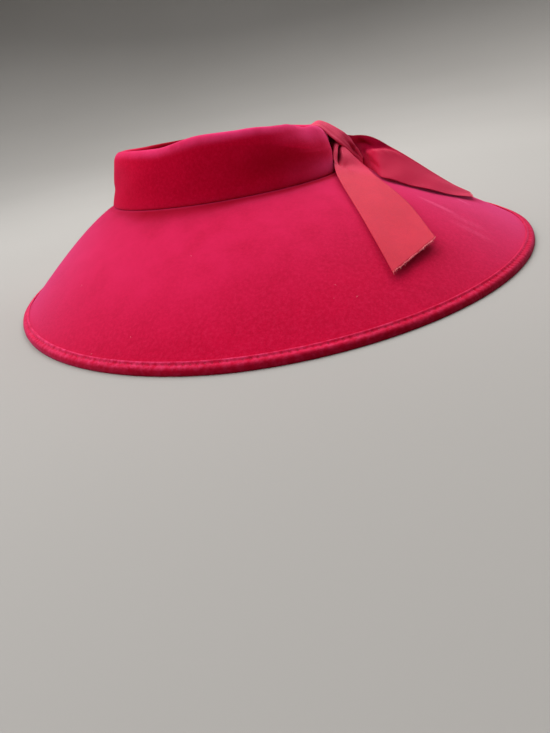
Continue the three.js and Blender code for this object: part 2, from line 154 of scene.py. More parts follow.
# The crown's turned-in lower edge, a little proud of the wall: inward, height over the foot.
CROWN_HEM = [
    (2.1, 0.45), (1.3, 0.05), (0.5, 0.02), (-0.1, 0.25), (-0.45, 0.8), (-0.6, 1.7),
    (-0.55, 3), (-0.35, 4.8), (-0.1, 7),
]

# Soft folds in the bow: row, spread in rows, place across (0 back, 1 front), spread, height.
BOW_FOLDS = [
    (5.5, 1.2, 0.215, 0.055, -8),  # deep pleat beside the near tail's back edge
    (5.3, 0.9, 0.62, 0.26, 2),  # the tail swells where it comes out of the knot
    (3.7, 0.45, 0.36, 0.12, -1.3),  # small buckle below it
    (2.9, 0.6, 0.3, 0.2, 0.8),
    (1.5, 0.9, 0.6, 0.3, 0.8),  # long soft swell of the near tail
    (8.15, 0.55, 0.5, 0.26, -3.6),  # room for the strap's end behind the knot
    (8.4, 0.5, 0.26, 0.15, -3.2),  # hollow that runs out at the far tail's upper edge
    (9, 0.5, 0.25, 0.14, -3.8),
    (9.6, 0.5, 0.19, 0.11, -3.4),
    (10.1, 0.45, 0.12, 0.08, -2.6),
    (10.6, 0.4, 0.06, 0.05, -1.4),
    (9, 0.5, 0.52, 0.08, 1),  # ridge below the hollow
    (9.6, 0.5, 0.4, 0.08, 1.2),
    (10.1, 0.5, 0.28, 0.08, 1.2),
    (10.7, 0.5, 0.17, 0.07, 0.8),
    (9.4, 0.6, 0.78, 0.1, -1.4),  # shallow valley above its lower edge
    (12.5, 1, 0.5, 0.3, 1),  # soft swell of the far tail
]
# Folds in the strap, in the same way (0 right, 1 left).
STRAP_FOLDS = [
    (11.2, 1.3, 0.48, 0.1, -2),  # crease beside the turned left edge
    (11.8, 1.6, 0.68, 0.12, 1.4),
    (9.4, 0.5, 0.62, 0.25, -0.9),  # dip where the strap turns down
    (7, 2.2, 0.22, 0.16, -0.35),
    (6.5, 3, 0.62, 0.22, 0.4),
]
# The bow's back edge is turned in behind the knot: row, x, y, z of the turn.
TUCKS = [
    (3, 3, 0.2, -0.5), (4, 6, 1.2, 0), (5, 8, 2.5, 2.5), (6, 5, 6.3, 5),
    (7, 2, 9.7, 10.5), (7.5, 1, 11, 9), (8, 0, 9, 5),
]
TUCK_ROWS = [(3.1, 0), (5, 1), (7.5, 1), (8.3, 0)]  # row, how far it is turned in
TUCK_SHARE = 0.14  # share of the width in that turn
# How the bow's colour shifts along it, and the painted shade that darkens its far tail: row,
# amount.
BOW_ROSY = [(0, 0), (2.3, 0.1), (3.3, 0.7), (8, 1)]
BOW_DUSKY = [(7.4, 0), (8.2, 1), (11.5, 1), (14.5, 0.5)]
BOW_HOLLOW = [  # row, place across where the painted shade of the hollow ends
    (8, 0.55), (8.6, 0.5), (9.2, 0.4), (9.8, 0.26), (10.4, 0.1), (11, -0.1),
]
# Stray fibres on the brim in plain sight: bearing, s.
LINT = [(-70, 0.78), (-116, 0.93), (-66, 0.8), (-96, 0.42), (-130, 0.6), (-48, 0.7)]


# ---- Helpers ----
def read_around(rows, degrees):
    """A smooth closed reading of a table of bearings."""
    bearings, values = np.array([*rows, (rows[0][0] + 360, rows[0][1])], float).T
    place = (degrees + 180) % 360 - 180
    i = np.clip(np.searchsorted(bearings, place, side="right") - 1, 0, len(rows) - 1)
    k = (place - bearings[i]) / (bearings[i + 1] - bearings[i])
    return values[i] + (values[i + 1] - values[i]) * k * k * (3 - 2 * k)


def read_rows(rows, at, column=1):
    """A straight-line reading of a table, by its first column."""
    table = np.array(rows, float)
    return np.interp(at, table[:, 0], table[:, column])


def patch(value, centre, width, power=2):
    """1 at the centre, falling away over the width; a higher power falls later and faster."""
    return np.exp(-(((value - centre) / width) ** power))


def stack(x, y, z):
    x, y, z = np.broadcast_arrays(x, y, z)
    return np.stack([x, y, z], axis=-1).astype(float)


def unit(v):
    return v / np.maximum(np.linalg.norm(v, axis=-1, keepdims=True), 1e-9)


# ---- Shape of the felt ----
def rim_height(t):
    return read_around(RIM_HEIGHT, np.degrees(t))


def dent_depth(t, k):
    """How far the crown's wall is pressed in, k running from its foot (0) to its rim (1)."""
    bearing = np.degrees(t)
    depth = np.zeros(np.broadcast(t, k).shape)
    for at, spread, foot, middle, rim in CROWN_DENTS:
        off = (bearing - at + 180) % 360 - 180
        low = foot + (middle - foot) * k * 2
        high = middle + (rim - middle) * (k * 2 - 1)
        depth = depth + np.where(k < 0.5, low, high) * patch(off, 0, spread)
    return depth


def crown_point(t, inward, z, shrink=1):
    """A point of the crown, inward measured from the wall's outer face."""
    k = np.clip((z - BRIM_RISE) / (rim_height(t) - BRIM_RISE), 0, 1)
    depth = inward + dent_depth(t, k)
    half_width = CROWN_HALF_WIDTH - TAPER_WIDTH * k - depth
    half_length = CROWN_HALF_LENGTH - TAPER_LENGTH * k - depth
    return stack(
        half_width * np.sin(t) * shrink,
        CROWN_CENTRE_Y - TAPER_SHIFT * k - half_length * np.cos(t) * shrink,
        z,
    )


def brim_edge(t):
    cos, sin, n = np.cos(t), np.sin(t), BRIM_SQUARENESS
    reach = (np.abs(cos) ** n + np.abs(sin) ** n) ** (-1 / n)
    length = np.where(cos > 0, BRIM_FRONT_LENGTH, BRIM_BACK_LENGTH)
    return BRIM_HALF_WIDTH * reach * sin, -length * reach * cos


def brim_level(t, s):
    frontness = (1 + np.cos(t)) / 2
    curve = BRIM_BACK_CURVE + (BRIM_FRONT_CURVE - BRIM_BACK_CURVE) * frontness
    return BRIM_EDGE_HEIGHT + (BRIM_RISE - BRIM_EDGE_HEIGHT) * (1 - s**curve)


def brim_swell(t, s):
    """Slow waves of the felt and the line where the crown is sewn down, in mm."""
    waves = 0.3 * np.sin(3 * t + 0.6) * s + 0.28 * np.sin(5 * t + 1.9 + 1.5 * s)
    waves = waves + 0.22 * np.sin(8 * t - 0.7 + 3 * s) + 0.12 * np.sin(13 * t + 2 - 4 * s)
    return waves * np.sin(np.pi * np.clip(s, 0, 1)) ** 0.7 + 0.12 * np.exp(-s * 130 / 3)


def brim_line(t):
    """Where the brim starts at the crown's foot, x and y, and its run to the edge."""
    foot = crown_point(t, 0, BRIM_RISE + 0 * t)
    edge_x, edge_y = brim_edge(t)
    return foot[..., 0], foot[..., 1], edge_x - foot[..., 0], edge_y - foot[..., 1]


def brim_top(t, s):
    """A point of the brim's upper face."""
    foot_x, foot_y, run_x, run_y = brim_line(t)
    return stack(foot_x + run_x * s, foot_y + run_y * s, brim_level(t, s) + brim_swell(t, s))


def brim_normal(t, s):
    step = 2e-3
    at = np.maximum(s, step)
    along = brim_top(t, at + step) - brim_top(t, at - step)
    around = brim_top(t + step, at) - brim_top(t - step, at)
    n = unit(np.cross(around, along))
    return n * np.sign(n[..., 2:3])


def brim_height(x, y):
    """Height of the brim's upper face over points in plan, level inside the crown's foot."""
    start = np.arctan2(x / CROWN_HALF_WIDTH, (CROWN_CENTRE_Y - y) / CROWN_HALF_LENGTH)

    def side(t):
        foot_x, foot_y, run_x, run_y = brim_line(t)
        return (x - foot_x) * run_y - (y - foot_y) * run_x

    # halve the range of bearings until the brim's line runs through each point
    low, high = start - 0.6, start + 0.6
    low_sign = np.sign(side(low))
    for _ in range(36):
        middle = (low + high) / 2
        same = np.sign(side(middle)) == low_sign
        low, high = np.where(same, middle, low), np.where(same, high, middle)
    foot_x, foot_y, run_x, run_y = brim_line(low)
    s = np.clip(((x - foot_x) * run_x + (y - foot_y) * run_y) / (run_x**2 + run_y**2), 0, 1)
    return brim_level(low, s) + brim_swell(low, s)


# ---- Meshes ----
def add_mesh(name, points, faces, material):
    """A smooth mesh object from points in metres."""
    mesh = bpy.data.meshes.new(name)
    mesh.from_pydata(points.tolist(), [], [list(map(int, f)) for f in faces])
    mesh.validate()
    mesh.polygons.foreach_set("use_smooth", [True] * len(mesh.polygons))
    mesh.materials.append(material)
    mesh.update()
    obj = bpy.data.objects.new(name, mesh)
    bpy.context.scene.collection.objects.link(obj)
    return obj


def new_object(name, points, faces, material):
    """The same from points in mm; the hat is centred over the origin here."""
    return add_mesh(name, (points.reshape(-1, 3) + (0, SHIFT_Y, 0)) * MM, faces, material)


def set_attributes(obj, **layers):
    """Values at the points of a mesh, which its material reads by name."""
    for name, values in layers.items():
        layer = obj.data.attributes.new(name, "FLOAT", "POINT")
        layer.data.foreach_set("value", np.asarray(values, np.float32).ravel())


def ring_faces(around, size):
    """Quads that join closed sections, the last section to the first one too."""
    i, j = np.meshgrid(np.arange(around), np.arange(size), indexing="ij")
    i2, j2 = (i + 1) % around, (j + 1) % size
    quads = np.stack([i * size + j, i2 * size + j, i2 * size + j2, i * size + j2], -1)
    return quads.reshape(-1, 4)


def orient(points, faces):
    """The quads turned so that they point out of the closed mesh."""
    p = points.reshape(-1, 3)
    volume = 0
    for corners in ([0, 1, 2], [0, 2, 3]):
        a, b, c = (p[faces[:, corner]] for corner in corners)
        volume += (a * np.cross(b, c)).sum()
    return faces if volume > 0 else faces[:, ::-1]


def tube(path, radius, sides):
    """Points and quads of one thin open tube along a path, finer at its ends."""
    ahead = unit(np.gradient(path, axis=0))
    first = np.array([0, 0, 1])
    if abs(ahead[0] @ first) > 0.9:
        first = np.array([1, 0, 0])
    side = unit(np.cross(ahead, first))
    up = np.cross(side, ahead)
    angle = np.linspace(0, 2 * np.pi, sides, endpoint=False)
    ring = side[:, None] * np.cos(angle)[:, None] + up[:, None] * np.sin(angle)[:, None]
    width = np.full(len(path), radius)
    width[[0, -1]] *= 0.35
    points = path[:, None] + ring * width[:, None, None]
    return points.reshape(-1, 3), ring_faces(len(path), sides)[:-sides, [0, 3, 2, 1]]


def joined_tubes(name, paths, radius, material, sides):
    points, faces, start = [], [], 0
    for path in paths:
        p, q = tube(path, radius, sides)
        points.append(p)
        faces.append(q + start)
        start += len(p)
    return new_object(name, np.vstack(points), np.vstack(faces), material)


# ---- Brim ----
def make_brim(material):
    """The brim's felt: the collar inside the crown, the upper face and the underside."""
    t = np.linspace(0, 2 * np.pi, AROUND, endpoint=False)[:, None]
    stations = np.concatenate([
        np.linspace(0, 0.12, 14)[:-1], np.linspace(0.12, 0.9, 62)[:-1],
        np.linspace(0.9, 1, 12)])
    step = 0.01
    span = np.linalg.norm(brim_top(t, 1 + 0 * t) - brim_top(t, 1 - step + 0 * t), axis=-1) / step
    s = stations * (1 - (BINDING_REACH + GAP) / span)
    upper = brim_top(t, s)
    under = (upper - brim_normal(t, s) * FELT)[:, ::-1][:, ::2]

    def rings(rows):
        return np.stack([crown_point(t[:, 0], inward, z + 0 * t[:, 0]) for inward, z in rows], 1)

    out, inner, top = FELT + GAP, FELT + GAP + COLLAR_WALL, BRIM_RISE + COLLAR_HEIGHT
    collar = rings([
        (inner, BRIM_RISE - FELT + 3), (inner, BRIM_RISE + 4), (inner, top - 1),
        (inner - 0.5, top - 0.2), (inner - 1, top), (out + 0.5, top - 0.2), (out, top - 1),
        (out, BRIM_RISE + 4), (out, BRIM_RISE + 1), (out - 1, BRIM_RISE + 0.1)])
    bend = rings([(1.2, BRIM_RISE - FELT - 0.1), (3.4, BRIM_RISE - FELT + 0.9)])
    sections = np.concatenate([collar, upper, under, bend], axis=1)
    faces = orient(sections, ring_faces(AROUND, sections.shape[1]))
    obj = new_object("brim_felt", sections, faces, material)

    crush = np.zeros(sections.shape[:2])
    x, y = sections[..., 0], sections[..., 1]
    for x0, y0, x1, y1, half, strength in CRUSH_MARKS:
        dx, dy = x1 - x0, y1 - y0
        along = np.clip(((x - x0) * dx + (y - y0) * dy) / (dx * dx + dy * dy), 0, 1)
        away = np.hypot(x - x0 - dx * along, y - y0 - dy * along)
        taper = np.sin(np.pi * np.clip(along, 0.04, 0.96)) ** 0.6
        crush = np.maximum(crush, strength * taper * patch(away, 0, half))
    # painted shade on the brim beside the crown, half as much right at its foot
    first, bearing = collar.shape[1], (np.degrees(t) + 180) % 360 - 180
    out_from_foot = s * span
    shade = patch(out_from_foot, 0, read_rows(FOOT_SHADE, bearing), 3)
    shade = shade * np.clip(0.5 + out_from_foot / 8, 0, 1)
    pressed = np.zeros(crush.shape)
    pressed[:, first:first + len(stations)] = read_rows(FOOT_SHADE, bearing, 2) * shade
    # painted highlight lightens the upper and middle brim, and not towards the edge
    station = np.concatenate([
        np.zeros(first), stations, stations[::-1][::2], np.zeros(bend.shape[1])])
    reach = 0.92 - 0.24 * patch(bearing, -48, 32)
    brushed = np.clip((reach - station) / 0.45, 0, 1) * (1 - 0.9 * pressed)
    set_attributes(obj, crush=crush, pressed=pressed, nap=brushed)
    return obj


def make_binding(material):
    """The velvet strip wrapped round the brim's edge, and where its stitches show."""
    around = STITCHES * STITCH_STEPS
    t = np.linspace(0, 2 * np.pi, around, endpoint=False)
    # equal steps along the edge, so that the stitches are evenly spaced
    edge = np.stack(brim_edge(t), -1)
    steps = np.linalg.norm(np.diff(np.vstack([edge, edge[:1]]), axis=0), axis=1)
    run = np.concatenate([[0], np.cumsum(steps)])
    t = np.interp(np.linspace(0, run[-1], around, endpoint=False), run,
                  np.append(t, 2 * np.pi))
    rng = np.random.default_rng(SEED)
    pull = np.repeat(rng.uniform(0.55, 1.25, STITCHES), STITCH_STEPS)
    rough = rng.normal(0, 1, around // WANDER_STEPS)
    wander = np.interp(np.arange(around), np.arange(0, around + 1, WANDER_STEPS),
                       np.append(rough, rough[0]))
    phase = np.arange(around) * 2 * np.pi / STITCH_STEPS
    held = np.clip(np.cos(phase), 0, 1) ** 2
    dimple = pull * (0.02 + 0.36 * held)
    puff = 0.14 * wander + 0.1 * pull * np.cos(phase + np.pi)

    tip = brim_top(t, 1 + 0 * t)
    outward = unit(tip - brim_top(t, 0.98 + 0 * t))
    normal = brim_normal(t, 1 + 0 * t)
    middle = tip - normal * (FELT / 2)
    rows = []
    for i, (along, square) in enumerate(BINDING_SECTION):
        pinch = patch(along, -6.5, 1.1) if i in PINCHED else 0
        swell = patch(along, -3.9, 2.2) if i in SWOLLEN else 0
        square = square - dimple * pinch + puff * swell
        rows.append(middle + outward * along + normal * square[:, None])
    points = np.stack(rows, 1)
    points[..., 2] = np.maximum(points[..., 2], 0)
    size = points.shape[1]
    faces = orient(points, ring_faces(around, size))
    obj = new_object("edge_binding", points, faces, material)

    # painted shade darkens the stitch dimples and the outer and under sides, and painted
    # highlight lightens the two ridges; at the front the painted shade is stronger and the
    # painted highlight weaker
    number = np.arange(size)
    turned = (0.5 + 0.5 * np.cos(t - math.radians(-20)))[:, None] ** 2
    caught = (pull * held)[:, None] * (np.abs(number - STITCH_POINT) <= 1)
    rubbed = read_rows(BINDING_RUBBED, number) * (1 - 0.75 * turned)
    laid = read_rows(BINDING_LAID, number) * (0.3 + 0.75 * turned)
    laid = np.clip(laid + 0.2 * turned * (number > 8), 0, 1)
    set_attributes(obj, caught=caught, rubbed=rubbed, laid=laid)

    line = points[:, STITCH_POINT]
    stitches = [
        (line[i], unit(line[(i + 1) % around] - line[i - 1]), normal[i])
        for i in range(0, around, STITCH_STEPS) if pull[i] > 0.68
    ]
    return obj, stitches


def make_stitches(stitches, material):
    """Short threads that lie in the binding's dimples, each a little askew."""
    rng = np.random.default_rng(SEED + 1)
    paths = []
    for point, ahead, normal in stitches:
        half = rng.uniform(0.4, 0.75)
        across = np.cross(normal, ahead) * rng.normal(0, 0.12)
        k = np.linspace(-1, 1, 5)[:, None]
        lift = normal * (0.24 * (1 - k**2) - 0.08)
        paths.append(point + ahead * k * half + across * k + lift)
    return joined_tubes("binding_stitches", paths, 0.13, material, sides=5)


def make_lint(material):
    """A few stray fibres caught in the nap of the brim."""
    rng = np.random.default_rng(SEED + 6)
    spots = LINT + [(rng.uniform(-180, 180), rng.uniform(0.15, 0.95)) for _ in range(10)]
    paths = []
    for bearing, s in spots:
        t, s = np.array([math.radians(bearing)]), np.array([s])
        centre, n = brim_top(t, s)[0], brim_normal(t, s)[0]
        side = unit(np.cross(n, rng.normal(size=3)))
        other = np.cross(n, side)
        k = np.linspace(-1, 1, 9)[:, None]
        long, bow, twist = rng.uniform(0.35, 1.1), rng.normal(0, 0.5), rng.normal(0, 0.3)
        path = centre + side * k * long + other * (bow * k**2 + twist * k**3) * long
        paths.append(path + n * (0.12 + 0.1 * (1 - k**2)))
    return joined_tubes("lint_fibres", paths, 0.05, material, sides=3)


# ---- Crown ----
def crown_sections(t):
    """Rows of points up the wall, over the rim, down the fold, over the tip and back along
    the inner side. Also the rows where the rim starts and where the tip ends."""
    foot = BRIM_RISE + GAP
    axis = rim_height(t) - RIM_RADIUS
    bend = read_around(SHOULDER, np.degrees(t))
    wall_top = rim_height(t) - bend - foot
    rows = []

    def add(inward, z, shrink=1):
        rows.append(crown_point(t, inward, z + 0 * t, shrink))

    def roll(radius, degrees):
        angle = math.radians(degrees)
        drop = bend if angle < math.pi / 2 and radius == RIM_RADIUS else radius
        add(RIM_RADIUS - radius * math.cos(angle), axis + radius - drop * (1 - math.sin(angle)))

    for inward, up in CROWN_HEM:
        add(inward, foot + up)
    start = 9.5
    for share in np.linspace(0, 1, 22)[:-1]:
        wave = 0.35 * np.sin(7 * t + 1.2) + 0.25 * np.sin(12 * t + 0.4)
        hollow = 1.1 * patch(share, 0.16, 0.16) * patch(np.degrees(t), 183, 24)
        add(wave * math.sin(math.pi * share) ** 2 + hollow,
            foot + start + (wall_top - start) * share)
    rim_row = len(rows)
    for degrees in np.linspace(0, 180, 21):
        roll(RIM_RADIUS, degrees)
    fold_start, fold_end = 2 * RIM_RADIUS, 2 * RIM_RADIUS + FOLD_SLOPE
    for k in np.linspace(0.12, 1, 12):
        ease = k * k * (3 - 2 * k)
        add(fold_start + FOLD_SLOPE * (0.35 * k + 0.65 * k**3),
            axis * (1 - k) + (TIP_HEIGHT + 0.2 * (1 - ease)) * k)
    for shrink in np.linspace(0.97, 0.03, 22):
        soft = 0.25 * np.sin(4 * t + 2) * math.sin(math.pi * shrink)
        add(fold_end + 2, TIP_HEIGHT + TIP_CROWN * (1 - shrink**2) + soft, shrink)
    tip_row = len(rows) - 1

    for shrink in (0.03, 0.35, 0.7):
        add(fold_end + 2, TIP_HEIGHT - FELT + TIP_CROWN * (1 - shrink**2), shrink)
    add(fold_end, TIP_HEIGHT - FELT)
    add(fold_end - 3.4, TIP_HEIGHT - FELT + 1.6)
    for k in (0.6, 0.3):
        add(fold_start + FOLD_SLOPE * 0.7 * k - FELT, axis * (1 - k) + TIP_HEIGHT * k)
    for degrees in (180, 135, 90, 45, 0):
        roll(RIM_RADIUS - FELT, degrees)
    for share in (0.8, 0.55, 0.3, 0.1):
        add(FELT, foot + 1 + (wall_top - 1) * share)
    add(FELT, foot + 1.1)
    return np.stack(rows, 1), rim_row, tip_row


def make_crown(material):
    """The crown's felt, one shell whose hollow is open below."""
    t = np.linspace(0, 2 * np.pi, AROUND, endpoint=False)
    sections, rim_row, tip_row = crown_sections(t)
    size = sections.shape[1]
    faces = ring_faces(AROUND, size)
    between_sides = np.arange(len(faces)) % size == tip_row
    faces = orient(sections, faces[~between_sides])
    # a fan closes the tip's middle above, and another below
    centres = [sections[:, row].mean(0) for row in (tip_row, tip_row + 1)]
    points = np.vstack([sections.reshape(-1, 3), centres])
    fans = []
    for i in range(AROUND):
        here, after = i * size + tip_row, (i + 1) % AROUND * size + tip_row
        fans += [[here, after, AROUND * size], [after + 1, here + 1, AROUND * size + 1]]
    a, b, c = points[fans[0]]
    if np.cross(b - a, c - a)[2] < 0:
        fans = [fan[::-1] for fan in fans]
    obj = new_object("crown_felt", points, [*faces, *fans], material)

    x, y, z = np.moveaxis(sections, -1, 0)
    bearing = np.degrees(
        np.arctan2(x / CROWN_HALF_WIDTH, (CROWN_CENTRE_Y - y) / CROWN_HALF_LENGTH))
    below = rim_height(t)[:, None] - z
    up = z - BRIM_RISE - GAP
    row = np.arange(size)
    past = row - rim_row
    # painted highlight lightens it along the rim, down the front corner, low on the front and a
    # little along the hem
    rubbed = patch(np.maximum(below, 0), 0, read_rows(RIM_NAP, bearing), 4) * (past < 14)
    front = patch(bearing, -24, 13) * patch(below, 10, 14)
    corner = patch(bearing, -30, 19) * patch(below, 0, 12.5, 5)
    rubbed = np.maximum(rubbed, np.maximum(0.2 * front, 0.95 * corner) * (past < 10))
    low = patch(up, 7, 6.5) * patch(bearing, -32, 17)
    rubbed = np.maximum(rubbed, 0.75 * low * (past < 0)) + 0.25 * patch(row, 3, 2)
    rubbed = rubbed * read_rows(CROWN_NAP_SHARE, bearing)
    # painted shade darkens it on the side, along the hem, round the back, on the far rim and
    # inside
    side = patch(bearing, -56, 27) * patch(below, 24, 12)
    hem = patch(up, 0, 3.6) * patch(bearing, -38, 26)
    back = patch(np.abs(bearing), 180, 45) * np.clip((below - 8) / 6, 0, 1)
    outside = (0.5 * side + 0.4 * hem + 0.3 * back) * (past < 0)
    inside = 0.5 * np.clip((past - 13) / 4, 0, 1)
    far = patch(bearing, 105, 52, 6) * (past >= 3)
    pressed = np.maximum(outside + inside, far)
    set_attributes(obj, nap=np.append(rubbed, [0, 0]), pressed=np.append(pressed, [0.5, 0.5]))
    return obj


# ---- Ribbon ----
def curve_through(points, share):
    """Points at equal shares of a centripetal Catmull-Rom curve, as the solids use."""
    p = np.vstack([2 * points[0] - points[1], points, 2 * points[-1] - points[-2]])
    place = share * (len(points) - 1)
    i = np.clip(np.floor(place).astype(int), 0, len(points) - 2)
    w = (place - i)[:, None]
    x0, x1, x2, x3 = p[i], p[i + 1], p[i + 2], p[i + 3]
    d0, d1, d2 = (np.linalg.norm(b - a, axis=1)[:, None] ** 0.5
                  for a, b in ((x0, x1), (x1, x2), (x2, x3)))
    t1 = ((x1 - x0) / d0 - (x2 - x0) / (d0 + d1) + (x2 - x1) / d1) * d1
    t2 = ((x2 - x1) / d1 - (x3 - x1) / (d1 + d2) + (x3 - x2) / d2) * d1
    return (x1 + t1 * w + (-3 * x1 + 3 * x2 - 2 * t1 - t2) * w**2
            + (2 * x1 - 2 * x2 + t1 + t2) * w**3)


def grid_normals(grid):
    along = np.gradient(grid, axis=0)
    across = np.gradient(grid, axis=1)
    return unit(np.cross(across, along))


def upward_normals(grid):
    """The same normals, on the side that faces up near the grid's start."""
    n = grid_normals(grid)
    return n * np.sign(n[5, 5, 2])


def ribbon_object(name, grid, material, width):
    """A thin closed ribbon round a grid of points, with its own lengths as UV in metres."""
    rows, columns = grid.shape[:2]
    edge = np.ones(columns)
    edge[[0, -1]] = 0.55
    half = grid_normals(grid) * (RIBBON_THICKNESS / 2 * edge[None, :, None])
    points = np.concatenate([(grid + half).reshape(-1, 3), (grid - half).reshape(-1, 3)])
    i, j = np.meshgrid(np.arange(rows - 1), np.arange(columns - 1), indexing="ij")
    a, b = i * columns + j, (i + 1) * columns + j
    top = np.stack([a, b, b + 1, a + 1], -1).reshape(-1, 4)
    back = rows * columns
    bottom = top[:, ::-1] + back
    i = np.arange(rows - 1) * columns
    left = np.stack([i, i + back, i + columns + back, i + columns], -1)
    k = i + columns - 1
    right = np.stack([k, k + columns, k + columns + back, k + back], -1)
    j = np.arange(columns - 1)
    start = np.stack([j, j + 1, j + 1 + back, j + back], -1)
    e = (rows - 1) * columns + j
    end = np.stack([e, e + back, e + 1 + back, e + 1], -1)
    faces = orient(points, np.vstack([top, bottom, left, right, start, end]))
    obj = new_object(name, points, faces, material)

    step = np.linalg.norm(np.diff(grid, axis=0), axis=-1).mean(1)
    along = np.concatenate([[0], np.cumsum(step)]) * MM
    uv = np.stack(np.meshgrid(np.linspace(0, width * MM, columns), along), -1)
    uv = np.tile(uv.reshape(-1, 2), (2, 1))
    layer = obj.data.uv_layers.new(name="RibbonLength")
    loops = np.zeros(len(obj.data.loops), np.int32)
    obj.data.loops.foreach_get("vertex_index", loops)
    layer.data.foreach_set("uv", uv[loops].astype(np.float32).ravel())
    return obj, along[-1] / MM


def set_ribbon_attributes(obj, shape, **layers):
    """Values over the ribbon's grid, the same on both of its faces."""
    set_attributes(obj, **{
        name: np.tile(np.broadcast_to(values, shape).ravel(), 2)
        for name, values in layers.items()})


def fold_height(folds, row, across):
    """Height of a table of folds over a ribbon's rows and places across."""
    return sum(
        amount * np.exp(-(((row - at_row) / spread) ** 2) - ((across - at) / width) ** 2)
        for at_row, spread, at, width, amount in folds)


def make_bow(material):
    """The bow's ribbon from one cut end to the other, its grid of points and its length."""
    share, k = (np.linspace(0, 1, steps + 1) for steps in BOW_STEPS)
    rows = np.array(BOW_ROWS, float)
    row = share[:, None] * (len(rows) - 1)
    back, front = (
        curve_through(np.column_stack([x, y, brim_height(x, y) + lift]), share)
        for x, y, lift in (rows[:, 0:3].T, rows[:, 3:6].T))
    sag = np.interp(row, np.arange(len(rows)), rows[:, 6])
    turn = read_rows(TUCK_ROWS, row)
    turn = turn * turn * (3 - 2 * turn)
    in_turn = np.clip(1 - k / TUCK_SHARE, 0, 1)
    tuck = np.stack([read_rows(TUCKS, row, column) for column in (1, 2, 3)], -1)
    k_face = k * (1 - turn) + np.clip((k - TUCK_SHARE) / (1 - TUCK_SHARE), 0, 1) * turn
    grid = back[:, None] + (front - back)[:, None] * k_face[..., None]
    grid = grid + np.array([0, 0.6, -0.8]) * (sag * 4 * k * (1 - k))[..., None]
    height = fold_height(BOW_FOLDS, row, k_face)
    rng = np.random.default_rng(SEED + 2)
    for _ in range(9):
        f, g, p = rng.uniform(2, 9), rng.uniform(0.5, 1.8), rng.uniform(0, 6.3)
        height += 0.09 * np.sin(f * 2 * np.pi * share[:, None] + g * 2 * np.pi * k + p)
    grid = grid + upward_normals(grid) * height[..., None] + tuck * (turn * in_turn)[..., None]
    # uneven scissor cuts at both ends
    for end, inner, seed in ((0, 1, 3), (-1, -2, 4)):
        rough = np.random.default_rng(SEED + seed)
        cut = np.interp(k, np.linspace(0, 1, 16), rough.uniform(-0.5, 0.5, 16))
        cut += 0.18 * rough.uniform(-1, 1, len(k))
        grid[end] += unit(grid[end] - grid[inner]) * cut[:, None]
    floor = brim_height(grid[..., 0], grid[..., 1]) + RIBBON_CLEARANCE + RIBBON_THICKNESS / 2
    grid[..., 2] = np.maximum(grid[..., 2], floor)
    obj, length = ribbon_object("bow_ribbon", grid, material, RIBBON_WIDTH)

    # painted shade darkens the turned-in edge, the pleat, the hollow and the far tail, painted
    # highlight lightens the fold beside the knot, and the tails' colour shifts along them
    slit = np.exp(-(((row - 5.5) / 1.15) ** 4) - ((k_face - 0.225) / 0.08) ** 4)
    hollow = np.clip((read_rows(BOW_HOLLOW, row) - k_face) / 0.12 + 0.5, 0, 1)
    hollow = 0.54 * hollow * np.clip(row - 7.6, 0, 1)
    fresh = np.maximum(np.clip(3 * turn * in_turn, 0, 1), np.maximum(slit, hollow))
    worn = np.exp(-(((row - 4.8) / 1.6) ** 4) - (k_face / 0.12) ** 4) * (k_face > 0.02)
    set_ribbon_attributes(obj, k_face.shape, fresh=fresh, rosy=read_rows(BOW_ROSY, row),
                          dusky=read_rows(BOW_DUSKY, row), worn=worn)
    return obj, grid, length


def make_frays(grid, material):
    """Threads that stand out of both cut ends of the bow."""
    rng = np.random.default_rng(SEED + 5)
    paths = []
    for end, inner, count in ((0, 4, 190), (-1, -5, 150)):
        base, inside = grid[end], grid[inner]
        for _ in range(count):
            j = rng.uniform(0, len(base) - 1.001)
            i, w = int(j), j % 1
            p = base[i] * (1 - w) + base[i + 1] * w
            q = inside[i] * (1 - w) + inside[i + 1] * w
            out, side = unit(p - q), unit(base[i + 1] - base[i])
            long = rng.uniform(0.3, 1) if rng.random() < 0.88 else rng.uniform(1.2, 2.8)
            lean, curl, drop = rng.normal(0, 0.3), rng.normal(0, 0.25), rng.uniform(-0.1, 0.25)
            k = np.linspace(0, 1, 5)[:, None]
            path = p + out * (k * (long + 0.7) - 0.7) + side * (lean * k + curl * k**2) * long
            path[:, 2] += 0.28 + (drop * k[:, 0] ** 2) * long
            paths.append(path)
    return joined_tubes("ribbon_frays", paths, 0.075, material, sides=4)


def make_strap(material):
    """The pleated ribbon over the crown's rim and the bow, and its length."""
    share, k = (np.linspace(0, 1, steps + 1) for steps in STRAP_STEPS)
    rows = np.array(STRAP_ROWS, float)
    row = share[:, None] * (len(rows) - 1)
    right, left = curve_through(rows[:, :3], share), curve_through(rows[:, 3:], share)
    grid = right[:, None] + (left - right)[:, None] * k[:, None]
    height = 0.4 + fold_height(STRAP_FOLDS, row, k)
    gather = np.clip((row - 4) / 5, 0.3, 1)
    height += gather * 0.09 * np.cos(2 * np.pi * (2.3 * k + 0.15 * np.sin(row * 0.9)))
    height += 0.05 * np.sin(2 * np.pi * (4.7 * k + 0.2 * row))
    height -= 0.7 * (patch(k, 0, 0.05) + patch(k, 1, 0.05))
    grid = grid + upward_normals(grid) * height[..., None]
    obj, length = ribbon_object("strap_ribbon", grid, material, STRAP_WIDTH)

    # painted highlight lightens the strap as it comes down from the rim and along its turned
    # end, and painted shade darkens a crease near its end
    worn = 0.9 * np.exp(-(((row - 7.9) / 1.5) ** 2) - ((k - 0.35) / 0.45) ** 2)
    worn = worn + 0.9 * np.exp(-(((row - 12) / 1.6) ** 4) - ((k - 0.9) / 0.25) ** 4)
    fresh = 0.35 * np.exp(-(((row - 10.6) / 1.3) ** 2) - ((k - 0.4) / 0.25) ** 2)
    set_ribbon_attributes(obj, grid.shape[:2], rosy=1, worn=worn, fresh=fresh)
    return obj, length
